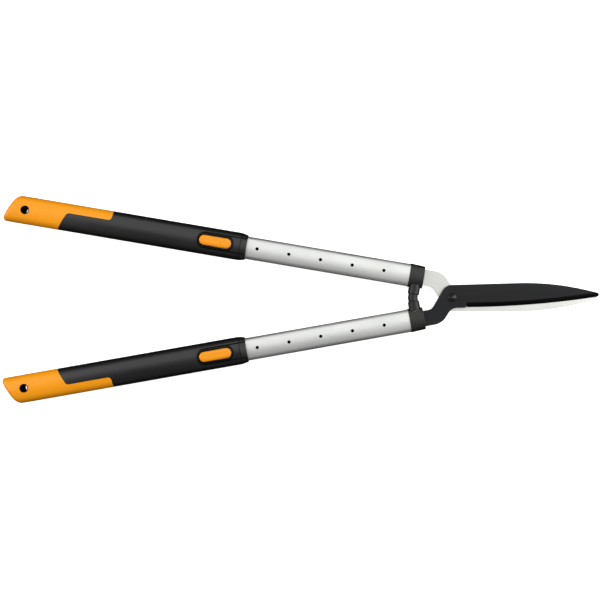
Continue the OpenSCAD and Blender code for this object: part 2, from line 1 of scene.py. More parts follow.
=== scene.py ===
"""Looks of a pair of telescopic hedge shears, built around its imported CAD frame.

Sizes are in millimetres and Blender's own units are metres, in the CAD's frame. Each handle also has
a frame of its own: x along the handle's axis to the rear, from the foot of the perpendicular dropped
on it from the pivot, y away from the other handle and z up to the lock button.
"""

import functools
import json
import logging
import math
from collections.abc import Callable, Iterable, Iterator, Sequence
from contextlib import contextmanager
from dataclasses import dataclass, replace
from enum import Enum

import bmesh
import bpy
from mathutils import Matrix, Vector

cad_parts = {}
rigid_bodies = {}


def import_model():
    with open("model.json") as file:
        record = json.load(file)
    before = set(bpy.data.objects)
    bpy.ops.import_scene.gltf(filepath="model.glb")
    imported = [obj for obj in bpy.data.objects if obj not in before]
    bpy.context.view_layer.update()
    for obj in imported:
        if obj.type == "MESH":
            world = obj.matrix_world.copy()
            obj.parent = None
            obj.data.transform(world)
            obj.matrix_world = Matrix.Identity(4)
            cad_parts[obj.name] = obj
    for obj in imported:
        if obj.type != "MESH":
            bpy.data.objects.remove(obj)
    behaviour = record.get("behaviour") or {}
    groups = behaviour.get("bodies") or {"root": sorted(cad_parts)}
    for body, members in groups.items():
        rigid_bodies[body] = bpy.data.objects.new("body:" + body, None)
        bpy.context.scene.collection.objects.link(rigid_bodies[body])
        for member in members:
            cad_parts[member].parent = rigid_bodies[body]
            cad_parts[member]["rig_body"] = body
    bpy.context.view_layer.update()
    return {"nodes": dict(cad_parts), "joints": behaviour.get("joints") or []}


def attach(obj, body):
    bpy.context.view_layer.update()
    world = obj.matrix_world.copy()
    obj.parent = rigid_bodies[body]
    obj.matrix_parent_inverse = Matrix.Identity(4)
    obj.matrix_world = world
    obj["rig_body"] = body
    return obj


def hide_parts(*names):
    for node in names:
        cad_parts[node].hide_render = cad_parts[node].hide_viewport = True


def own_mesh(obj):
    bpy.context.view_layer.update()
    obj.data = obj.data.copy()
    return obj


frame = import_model()

Object = bpy.types.Object
Point = tuple[float, float]
Ring = list[Vector]

log = logging.getLogger("hedge_shears")

MM = 0.001
# Fineness of the meshes: steps of an oval, of a rounding and of a circle.
OVAL_STEP = math.radians(3)
ROUND_STEPS = 6
CIRCLE_STEPS = 64
# Points closer than this are one, and CAD faces that meet at less than this angle are one.
WELD = 0.01 * MM
FLAT = 0.004
# Reach of a cutter that goes right through, and of one that runs just past what it cuts.
FAR = 60.0
PAST = 1.0
# Pull of large faces on the shading of the rounded edges beside them, at its most.
FACE_WEIGHT = 100


def linear(colour: str) -> tuple[float, float, float, float]:
    """Turn an sRGB hex colour into linear RGBA.

    Args:
        colour: Colour such as "#2c2d2f".

    Returns:
        The linear colour with an alpha of 1.
    """
    parts = [int(colour[i:i + 2], 16) / 255 for i in (1, 3, 5)]
    red, green, blue = (c / 12.92 if c <= 0.04045 else ((c + 0.055) / 1.055) ** 2.4 for c in parts)
    return red, green, blue, 1.0


def add_node(
    tree: bpy.types.NodeTree,
    kind: str,
    values: dict | None = None,
    links: dict | None = None,
    **settings: object,
) -> bpy.types.Node:
    """Add a node with its settings, input values and links.

    Args:
        tree: Node tree that gets the node.
        kind: Blender's name of the node's type.
        values: Constant value of each named or numbered input.
        links: Output socket that feeds each named or numbered input.
        settings: Attributes of the node itself.

    Returns:
        The new node.
    """
    node = tree.nodes.new(kind)
    for name, setting in settings.items():
        setattr(node, name, setting)
    for key, value in (values or {}).items():
        node.inputs[key].default_value = value
    for key, socket in (links or {}).items():
        tree.links.new(socket, node.inputs[key])
    return node


# Share of the relief in a finish's shade, and the spans of that shade that drive its colour and gloss.
RELIEF_SHARE = 0.35
TINT_SPAN = {"From Min": 0.35, "From Max": 1.0}
GLOSS_SPAN = {"From Min": 0.45, "From Max": 0.95}
# Span of an edge's sharpness over which it looks rubbed, and how far it does at most.
RUBBED_SPAN = {"From Min": 0.54, "From Max": 0.62, "To Max": 0.6}
# Sockets of a colour mix: its share, its two colours and its result.
MIX_SHARE, MIX_FROM, MIX_TO, MIX_RESULT = 0, 6, 7, 2


class Grain(Enum):
    """Way in which a finish's fine relief runs, as shares of its fineness along x, y and z."""

    EVEN = (1.0, 1.0, 1.0)
    ALONG = (0.012, 1.0, 1.0)
    ACROSS = (1.0, 0.04, 1.0)


@dataclass(frozen=True)
class Finish:
    """A real material with the way its surface was made.

    Attributes:
        slot: The record's material slot; not used by this script.
        name: The material's common name.
        colour: Main colour.
        drift: Colour that its patches drift to.
        roughness: Lowest and highest roughness.
        grain: Way in which its relief runs.
        grain_mm: Spacing of its relief.
        relief_mm: Depth of its relief.
        patch_mm: Size of its patches of colour and gloss.
        metallic: 1 for a bare metal.
        ior: Index of refraction, left as it is for a metal.
        rubbed: Colour of its edges where handling has rubbed them, if it shows any.
        glow: Light that it gives by itself.
    """

    slot: str
    name: str
    colour: str
    drift: str
    roughness: tuple[float, float]
    grain: Grain
    grain_mm: float
    relief_mm: float
    patch_mm: float = 45.0
    metallic: float = 0.0
    ior: float = 1.5
    rubbed: str | None = None
    glow: float = 0.0

    @functools.cache
    def material(self) -> bpy.types.Material:
        """Build the finish's material.

        Returns:
            The material, made once and shared.
        """
        material = bpy.data.materials.new(self.name)
        material.use_nodes = True
        material.diffuse_color = linear(self.colour)
        tree = material.node_tree
        tree.nodes.clear()
        place = add_node(tree, "ShaderNodeTexCoord").outputs["Object"]
        fineness = [share / (self.grain_mm * MM) for share in self.grain.value]
        stretched = add_node(
            tree, "ShaderNodeMapping", {"Scale": fineness}, {"Vector": place}
        ).outputs["Vector"]
        relief = add_node(
            tree,
            "ShaderNodeTexNoise",
            {"Scale": 1.0, "Detail": 2.0, "Roughness": 0.6},
            {"Vector": stretched},
        ).outputs["Fac"]
        patches = add_node(
            tree,
            "ShaderNodeTexNoise",
            {"Scale": 1 / (self.patch_mm * MM), "Detail": 5.0},
            {"Vector": place},
        ).outputs["Fac"]
        shade = add_node(
            tree, "ShaderNodeMath", {1: RELIEF_SHARE}, {0: relief, 2: patches}, operation="MULTIPLY_ADD"
        ).outputs["Value"]
        share = add_node(tree, "ShaderNodeMapRange", TINT_SPAN, {"Value": shade}).outputs["Result"]
        tint = add_node(
            tree,
            "ShaderNodeMix",
            {MIX_FROM: linear(self.colour), MIX_TO: linear(self.drift)},
            {MIX_SHARE: share},
            data_type="RGBA",
        ).outputs[MIX_RESULT]
        if self.rubbed:
            edges = add_node(tree, "ShaderNodeNewGeometry").outputs["Pointiness"]
            worn = add_node(tree, "ShaderNodeMapRange", RUBBED_SPAN, {"Value": edges}).outputs["Result"]
            patchy = add_node(
                tree, "ShaderNodeMath", links={0: worn, 1: patches}, operation="MULTIPLY"
            ).outputs["Value"]
            tint = add_node(
                tree,
                "ShaderNodeMix",
                {MIX_TO: linear(self.rubbed)},
                {MIX_SHARE: patchy, MIX_FROM: tint},
                data_type="RGBA",
            ).outputs[MIX_RESULT]
        low, high = self.roughness
        gloss = add_node(
            tree, "ShaderNodeMapRange", {**GLOSS_SPAN, "To Min": low, "To Max": high}, {"Value": shade}
        ).outputs["Result"]
        bump = add_node(
            tree, "ShaderNodeBump", {"Strength": 1.0, "Distance": self.relief_mm * MM}, {"Height": relief}
        ).outputs["Normal"]
        constants = {
            "Metallic": self.metallic,
            "Emission Color": linear(self.colour),
            "Emission Strength": self.glow,
        }
        if not self.metallic:
            constants["IOR"] = self.ior
        shader = add_node(
            tree,
            "ShaderNodeBsdfPrincipled",
            constants,
            {"Base Color": tint, "Roughness": gloss, "Normal": bump},
        )
        add_node(tree, "ShaderNodeOutputMaterial", links={"Surface": shader.outputs["BSDF"]})
        return material


# Sprayed low-friction coating on blade steel: near black and satin, with a faint orange peel that is
# drawn three times too coarse so that it shows.
COATED_STEEL = Finish(
    "coated_steel", "low_friction_coated_steel", "#0b0c0e", "#101113", (0.42, 0.56),
    Grain.EVEN, 1.2, 0.012, ior=1.315, rubbed="#6a6b6e",
)
# The same coating over the ground bevel: smoother, with the wheel's marks across the edge, and darker as
# painted shade for a bevel that faces away from the light.
GROUND_EDGE_PAINTED_SHADE = replace(
    COATED_STEEL, name="ground_coated_edge", colour="#020203", drift="#040405", roughness=(0.3, 0.45),
    grain=Grain.ACROSS, grain_mm=0.8, relief_mm=0.008, ior=1.15, rubbed=None,
)
# Rolled blade steel, satin ground along the blade: pale grey with long fine lines.
BARE_STEEL = Finish(
    "bare_steel", "satin_ground_steel", "#d6d7d2", "#c9cac5", (0.42, 0.55),
    Grain.ALONG, 0.9, 0.006, metallic=1.0,
)
# Black-oxide steel: blue-black and oiled, with a soft gloss and rubbed corners.
BLACK_STEEL = Finish(
    "black_steel", "black_oxide_steel", "#030304", "#060607", (0.18, 0.27), Grain.EVEN, 0.9, 0.006,
    patch_mm=8.0, ior=1.52, rubbed="#4c4d50",
)
# Sintered brass: warm, porous and dull.
BUSH_BRASS = Finish(
    "bush_brass", "sintered_brass", "#b08d57", "#8f7145", (0.35, 0.5), Grain.EVEN, 0.5, 0.01,
    patch_mm=6.0, metallic=1.0,
)
# Zinc-plated steel: pale blue-grey with mottled crystals.
PLATED_STEEL = Finish(
    "plated_steel", "zinc_plated_steel", "#b7babb", "#9a9d9f", (0.3, 0.45), Grain.EVEN, 0.7, 0.006,
    patch_mm=5.0, metallic=1.0,
)
# The same plated steel under the lock's grease: dark, with a dull wet look.
GREASED_STEEL = replace(
    PLATED_STEEL, name="greased_plated_steel", colour="#1e1e1d", drift="#141413", roughness=(0.45, 0.6)
)
# Extruded aluminium, satin anodised: silvery, with faint lines from the die along the tube, drawn twice
# too coarse so that they show.
TUBE_ALUMINIUM = Finish(
    "tube_aluminium", "satin_anodised_aluminium", "#e6e7e4", "#dadbd8", (0.46, 0.58),
    Grain.ALONG, 0.9, 0.005, patch_mm=70.0, metallic=1.0,
)
# The tube's bore as it left the die: dull, and painted near black as the shade inside the tube.
TUBE_BORE_PAINTED_SHADE = replace(
    TUBE_ALUMINIUM, name="raw_aluminium_bore", colour="#1b1b1a", drift="#242423", roughness=(0.6, 0.75)
)
# Glass-filled nylon, spark-textured in the mould: a warm near black with a dull fine pebble.
COLLAR_PLASTIC = Finish(
    "collar_plastic", "glass_filled_nylon", "#0d0d0b", "#12120f", (0.36, 0.46),
    Grain.EVEN, 0.9, 0.03, ior=1.5,
)
# Moulded stop rubber: near black, duller than the collar, with a bloom in patches.
BUMPER_RUBBER = Finish(
    "bumper_rubber", "stop_rubber", "#0e0e0d", "#141412", (0.42, 0.55), Grain.EVEN, 1.1, 0.02,
    patch_mm=12.0, ior=1.43,
)
# Acetal inside the tubes: plain dark moulded plastic.
INNER_PLASTIC = Finish(
    "inner_plastic", "acetal", "#2a2a2a", "#333333", (0.35, 0.5), Grain.EVEN, 1.0, 0.01, ior=1.48
)
# Moulded polypropylene, dyed through: warm orange with a satin skin and slow flow shading.
ORANGE_PLASTIC = Finish(
    "orange_plastic", "orange_polypropylene", "#f79c03", "#f09502", (0.36, 0.48), Grain.EVEN, 1.4, 0.012,
    patch_mm=80.0, ior=1.43,
)
# Overmoulded soft elastomer: near black and satin, with a fine stipple drawn twice too coarse.
GRIP_RUBBER = Finish(
    "grip_rubber", "soft_elastomer", "#080707", "#0b0a09", (0.34, 0.42), Grain.EVEN, 1.1, 0.025,
    patch_mm=70.0, ior=1.6,
)
# The same nylon as the collar, blacker and a little smoother.
NOSE_PLASTIC = replace(
    COLLAR_PLASTIC, slot="nose_plastic", name="black_nylon", colour="#0a0a09", drift="#0e0d0d",
    roughness=(0.33, 0.42), ior=1.53,
)
# Black nylon of the lock's tray: darker and duller than the nose.
TRAY_PLASTIC = replace(
    COLLAR_PLASTIC, slot="tray_plastic", name="tray_nylon", colour="#070708", drift="#0b0b0c",
    roughness=(0.36, 0.46), ior=1.3,
)
# The same nylon, painted near black and dull as the shade down in the hollows, grooves and gaps.
PAINTED_SHADE_NYLON = replace(
    TRAY_PLASTIC, name="hollow_nylon", colour="#020202", drift="#040404", roughness=(0.6, 0.75), ior=1.2
)
# Polypropylene as in the grip's end, with the polish of thumbs.
BUTTON_PLASTIC = replace(
    ORANGE_PLASTIC, slot="button_plastic", name="button_polypropylene", colour="#f79a08", drift="#ef9306",
    roughness=(0.34, 0.44), patch_mm=25.0,
)
# Painted board of the floor: white and dull, with a glow that keeps it clear of shadows.
FLOOR_BOARD = Finish(
    "", "painted_board", "#f6f6f5", "#f1f1f0", (0.75, 0.9),
    Grain.EVEN, 3.0, 0.005, patch_mm=400.0, glow=0.88,
)


@dataclass(frozen=True)
class Oval:
    """Section made of two flat arcs and two end arcs, as of the tubes and the grips."""

    width: float
    thick: float
    radius: float

    def grown(self, by: float) -> "Oval":
        """Oval that stands out from this one by the same distance all round."""
        return Oval(self.width + 2 * by, self.thick + 2 * by, self.radius + by)

    def arcs(self) -> list[tuple[float, float, float, float]]:
        """List the four arcs.

        Returns:
            Centre y, centre z, radius and half angle of the right, upper, left and lower arc.
        """
        end = self.width / 2 - self.radius
        flat = (end**2 + self.thick**2 / 4 - self.radius**2) / (self.thick - 2 * self.radius)
        drop = flat - self.thick / 2
        split = math.atan2(drop, end)
        rest = math.pi / 2 - split
        return [
            (end, 0.0, self.radius, split),
            (0.0, -drop, flat, rest),
            (-end, 0.0, self.radius, split),
            (0.0, drop, flat, rest),
        ]

    def points(self) -> list[Point]:
        """Points of the oval, as y and z, in order round it."""
        found = []
        for quarter, (y, z, radius, half) in enumerate(self.arcs()):
            steps = round(2 * half / OVAL_STEP)
            for i in range(steps):
                angle = quarter * math.pi / 2 - half + 2 * half * i / steps
                found.append((y + radius * math.cos(angle), z + radius * math.sin(angle)))
        return found

    def height(self, y: float) -> float:
        """Height of the upper surface at a distance from the axis.

        Args:
            y: Distance from the axis.

        Returns:
            The height, or 0 outside the oval.
        """
        (end, _, radius, split), (_, centre, flat, _), *_ = self.arcs()
        out = abs(y)
        if out <= end + radius * math.cos(split):
            return centre + math.sqrt(flat**2 - out**2)
        return math.sqrt(max(0.0, radius**2 - (out - end) ** 2))


def ring(x: float, oval: Oval, slant: float = 0.0) -> Ring:
    """Oval ring at a distance along the handle.

    Args:
        x: Distance along the handle.
        oval: Section at that distance.
        slant: How far the ring leans forward for each unit away from the other handle.

    Returns:
        The ring's points.
    """
    return [Vector((x - slant * y, y, z)) for y, z in oval.points()]


def rounded(corners: Sequence[tuple[Point, float]]) -> list[Point]:
    """Closed outline through corners, each rounded by its radius.

    Args:
        corners: Each corner's point and radius.

    Returns:
        Points of the outline.
    """
    outline: list[Point] = []
    for i, (point, radius) in enumerate(corners):
        here = Vector(point)
        before = (Vector(corners[i - 1][0]) - here).normalized()
        after = (Vector(corners[(i + 1) % len(corners)][0]) - here).normalized()
        if not radius:
            outline.append(tuple(here))
            continue
        half = math.acos(max(-1.0, min(1.0, before.dot(after)))) / 2
        centre = here + (before + after).normalized() * radius / math.sin(half)
        start = here + before * radius / math.tan(half) - centre
        sweep = math.copysign(math.pi - 2 * half, after.x * before.y - after.y * before.x)
        for k in range(ROUND_STEPS + 1):
            outline.append(tuple(centre + Matrix.Rotation(sweep * k / ROUND_STEPS, 2) @ start))
    return outline


def quarter_round(steps: int = ROUND_STEPS) -> list[Point]:
    """Points of a quarter round of radius 1.

    Args:
        steps: Number of its steps.

    Returns:
        How far each point lies in from the side and short of the end, from the side to the end.
    """
    turns = (math.pi / 2 * i / steps for i in range(steps + 1))
    return [(1 - math.cos(a), 1 - math.sin(a)) for a in turns]


def slot_ring(x: float, half_run: float, width: float, height: Callable[[float, float], float]) -> Ring:
    """Ring with two straight sides and two round ends, seen from above.

    Args:
        x: Middle of the ring along the handle.
        half_run: Half of the straight sides' length.
        width: Width of the ring.
        height: Height of the ring at a place along and across the handle.

    Returns:
        The ring's points.
    """
    found = []
    for end in (1, -1):
        for i in range(CIRCLE_STEPS // 2 + 1):
            angle = math.pi * (i / (CIRCLE_STEPS // 2) - 0.5)
            along = x + end * (half_run + width / 2 * math.cos(angle))
            across = end * width / 2 * math.sin(angle)
            found.append(Vector((along, across, height(along, across))))
    return found


def circle(x: float, y: float, radius: float) -> list[Point]:
    """Points of a circle, seen from above."""
    turns = (2 * math.pi * i / CIRCLE_STEPS for i in range(CIRCLE_STEPS))
    return [(x + radius * math.cos(a), y + radius * math.sin(a)) for a in turns]


@contextmanager
def edited(mesh: bpy.types.Mesh) -> Iterator[bmesh.types.BMesh]:
    """Open a mesh for editing and write it back at the end.

    Args:
        mesh: The mesh.

    Yields:
        The mesh in the form that can be edited.
    """
    work = bmesh.new()
    try:
        work.from_mesh(mesh)
        yield work
        work.to_mesh(mesh)
    finally:
        work.free()


def add_object(name: str, data: bpy.types.ID) -> Object:
    """Put an object with the given mesh, light or camera into the scene."""
    made = bpy.data.objects.new(name, data)
    bpy.context.scene.collection.objects.link(made)
    return made


def mesh_object(name: str, points: Iterable[Vector], faces: Iterable[Sequence[int]]) -> Object:
    """Make a mesh object from points in millimetres.

    Args:
        name: Name of the object.
        points: Its points.
        faces: Its faces, as numbers of points.

    Returns:
        The object, in the scene, with its faces turned outwards.
    """
    mesh = bpy.data.meshes.new(name)
    mesh.from_pydata([tuple(p * MM) for p in points], [], list(faces))
    with edited(mesh) as solid:
        bmesh.ops.recalc_face_normals(solid, faces=solid.faces)
    return add_object(name, mesh)


def loft(name: str, rings: Sequence[Ring], looped: bool = False) -> Object:
    """Make a solid through rings of equal point count.

    Args:
        name: Name of the object.
        rings: The rings in order.
        looped: Whether the last ring joins the first, as round a hollow piece.

    Returns:
        The solid.
    """
    count, last = len(rings[0]), len(rings)
    faces: list[Sequence[int]] = []
    for k in range(last if looped else last - 1):
        this, after = k * count, (k + 1) % last * count
        faces += [
            (this + i, this + (i + 1) % count, after + (i + 1) % count, after + i) for i in range(count)
        ]
    if not looped:
        faces += [tuple(range(count)), tuple(range((last - 1) * count, last * count))]
    return mesh_object(name, [p for points in rings for p in points], faces)


def prism(name: str, outline: Sequence[Point], low: float, high: float) -> Object:
    """Make an upright solid with the same outline at two heights."""
    return loft(name, [[Vector((*p, z)) for p in outline] for z in (low, high)])


def block(name: str, x: Point, y: Point, z: Point) -> Object:
    """Make a box-shaped cutter between two places along each axis."""
    return prism(name, [(x[0], y[0]), (x[1], y[0]), (x[1], y[1]), (x[0], y[1])], *z)


def bar(oval: Oval, start: float, stop: float) -> Object:
    """Make an oval bar along the handle."""
    return loft("bar", [ring(start, oval), ring(stop, oval)])


class Cut(Enum):
    """What one solid does to another."""

    AWAY = "DIFFERENCE"
    WITHIN = "INTERSECT"
    JOIN = "UNION"


def carve(solid: Object, *cuts: tuple[Cut, Object]) -> Object:
    """Cut a solid by others, which are used up.

    Args:
        solid: The solid that is cut.
        cuts: What each of the other solids does to it, in order.

    Returns:
        The same object with its new mesh.
    """
    for how, tool in cuts:
        modifier = solid.modifiers.new(how.name, "BOOLEAN")
        modifier.operation = how.value
        modifier.object = tool
        modifier.solver = "EXACT"
    graph = bpy.context.evaluated_depsgraph_get()
    mesh = bpy.data.meshes.new_from_object(solid.evaluated_get(graph))
    solid.modifiers.clear()
    spare = [solid.data] + [tool.data for _, tool in cuts]
    solid.data = mesh
    for _, tool in cuts:
        bpy.data.objects.remove(tool)
    for old in spare:
        bpy.data.meshes.remove(old)
    weld(solid)
    return solid


def weld(solid: Object, flat: float = 0.0) -> None:
    """Join a mesh's doubled points and drop slivers.

    Args:
        solid: Object whose mesh is cleaned.
        flat: Angle under which neighbouring faces are joined into one, or 0 to join none.
    """
    with edited(solid.data) as mesh:
        bmesh.ops.remove_doubles(mesh, verts=mesh.verts, dist=WELD)
        bmesh.ops.dissolve_degenerate(mesh, edges=mesh.edges, dist=WELD)
        if flat:
            bmesh.ops.dissolve_limit(mesh, angle_limit=flat, verts=mesh.verts, edges=mesh.edges)


@dataclass(frozen=True)
class Edge:
    """Rounding of a piece's edges, and the angle from which an edge counts as one."""

    width: float
    segments: int = 3
    angle: float = 32.0


def soften(piece: Object, edge: Edge) -> None:
    """Round a piece's edges and shade its faces smoothly between them.

    Args:
        piece: Object that gets the modifiers.
        edge: The rounding.
    """
    piece.data.shade_smooth()
    bevel = piece.modifiers.new("rounded_edges", "BEVEL")
    bevel.width = edge.width * MM
    bevel.segments = edge.segments
    bevel.limit_method = "ANGLE"
    bevel.angle_limit = math.radians(edge.angle)
    bevel.use_clamp_overlap = False
    bevel.loop_slide = False
    normals = piece.modifiers.new("even_shading", "WEIGHTED_NORMAL")
    normals.weight = FACE_WEIGHT
    normals.keep_sharp = True


def stand_for(piece: Object, node: str, finish: Finish) -> Object:
    """Give a piece its finish and let it stand for its CAD node.

    Args:
        piece: The piece, in its place.
        node: CAD node that it replaces.
        finish: Finish that goes into its first material slot.

    Returns:
        The piece.
    """
    piece.data.materials.clear()
    piece.data.materials.append(finish.material())
    body = frame["nodes"][node]["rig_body"]
    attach(piece, body)
    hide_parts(node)
    log.info("%s rides on %s for node %s", piece.name, body, node)
    return piece


def refine(node: str, finish: Finish, edge: Edge) -> Object:
    """Make a piece from a CAD node's own faces, with rounded edges.

    Args:
        node: CAD node that it replaces.
        finish: Its finish.
        edge: Rounding of its edges.

    Returns:
        The piece.
    """
    piece = add_object(f"dressed_{node}", frame["nodes"][node].data.copy())
    for name in [a.name for a in piece.data.attributes if a.name == "custom_normal"]:
        piece.data.attributes.remove(piece.data.attributes[name])
    weld(piece, flat=FLAT)
    soften(piece, edge)
    return stand_for(piece, node, finish)


def paint(
    piece: Object,
    finish: Finish,
    chosen: Callable[[Vector, Vector], bool],
    edges: bool = False,
) -> None:
    """Give some of a piece's faces a further finish.

    Args:
        piece: The piece.
        finish: The further finish.
        chosen: Tells by a face's middle, in millimetres, and its normal whether the face gets it.
        edges: Whether all the rounded edges get it too.
    """
    piece.data.materials.append(finish.material())
    last = len(piece.data.materials) - 1
    for face in piece.data.polygons:
        if chosen(face.center / MM, face.normal):
            face.material_index = last
    if edges:
        piece.modifiers["rounded_edges"].material = last


def keep(node: str, finish: Finish) -> None:
    """Carry a CAD node over as it is, with a finish.

    Args:
        node: CAD node that stays.
        finish: Its finish.
    """
    solid = frame["nodes"][node]
    solid.data.materials.clear()
    solid.data.materials.append(finish.material())
    log.info("%s is carried over", node)


class Side(Enum):
    """The two handles, with the sign of the way out from the other handle in their frames."""

    LOWER = 1
    UPPER = -1

    @property
    def label(self) -> str:
        """Start of the names of the side's nodes and bodies."""
        return self.name.lower()


@dataclass(frozen=True)
class Handle:
    """Place of a handle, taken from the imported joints."""

    side: Side

    def node(self, name: str) -> str:
        """Name of one of the handle's CAD nodes."""
        return f"{self.side.label}_{name}"

    def matrix(self) -> Matrix:
        """Place of the handle's frame.

        Returns:
            Matrix from the handle's frame to the row frame.
        """
        joints = {joint["name"]: joint for joint in frame["joints"]}
        pivot = Vector(joints["open_blades"]["pos_m"])
        rear = -Vector(joints[self.node("grip_slide")]["axis"]).normalized()
        rock = Vector(joints[self.node("button_rock")]["pos_m"])
        foot = rock - rear * (rock - pivot).dot(rear)
        up = Vector((0, 0, 1))
        place = Matrix((rear, up.cross(rear), up)).transposed().to_4x4()
        place.translation = (foot.x, foot.y, pivot.z)
        return place

    def mount(self, piece: Object, name: str, finish: Finish, edge: Edge) -> Object:
        """Put a piece that was built in the lower handle's frame on this handle.

        Args:
            piece: The piece.
            name: Name of the CAD node that it replaces, without the side.
            finish: Its finish.
            edge: Rounding of its edges.

        Returns:
            The piece in its place.
        """
        if self.side is Side.UPPER:
            piece.data.transform(Matrix.Diagonal((1, -1, 1, 1)))
            piece.data.flip_normals()
        piece.name = f"dressed_{self.node(name)}"
        piece.matrix_world = self.matrix()
        soften(piece, edge)
        return stand_for(piece, self.node(name), finish)


@dataclass(frozen=True)
class Blades:
    """The coated blade and the bare one below it."""

    edge: Edge = Edge(0.12, 2)
    bevel_tilt: float = math.radians(21)
    tilt_slack: float = 0.02

    def build(self) -> None:
        """Make both blades."""
        coated = refine("coated_blade", COATED_STEEL, self.edge)
        refine("bare_blade", BARE_STEEL, self.edge)
        lean = math.cos(self.bevel_tilt)
        # The ground bevel's faces, found by their tilt, get the darker coating as painted shade.
        paint(coated, GROUND_EDGE_PAINTED_SHADE, lambda _, normal: abs(normal.z - lean) < self.tilt_slack)


@dataclass(frozen=True)
class Pivot:
    """The bolt with its bush, spring washer and nut."""

    bolt_edge: Edge = Edge(0.25, 3, 20)
    washer_edge: Edge = Edge(0.1, 2, 20)
    nut_edge: Edge = Edge(0.05, 2, 40)

    def build(self) -> None:
        """Make the bolt, washer and nut, and carry the hidden bush over."""
        refine("pivot_bolt", BLACK_STEEL, self.bolt_edge)
        refine("spring_washer", PLATED_STEEL, self.washer_edge)
        refine("pivot_nut", PLATED_STEEL, self.nut_edge)
        keep("pivot_bush", BUSH_BRASS)


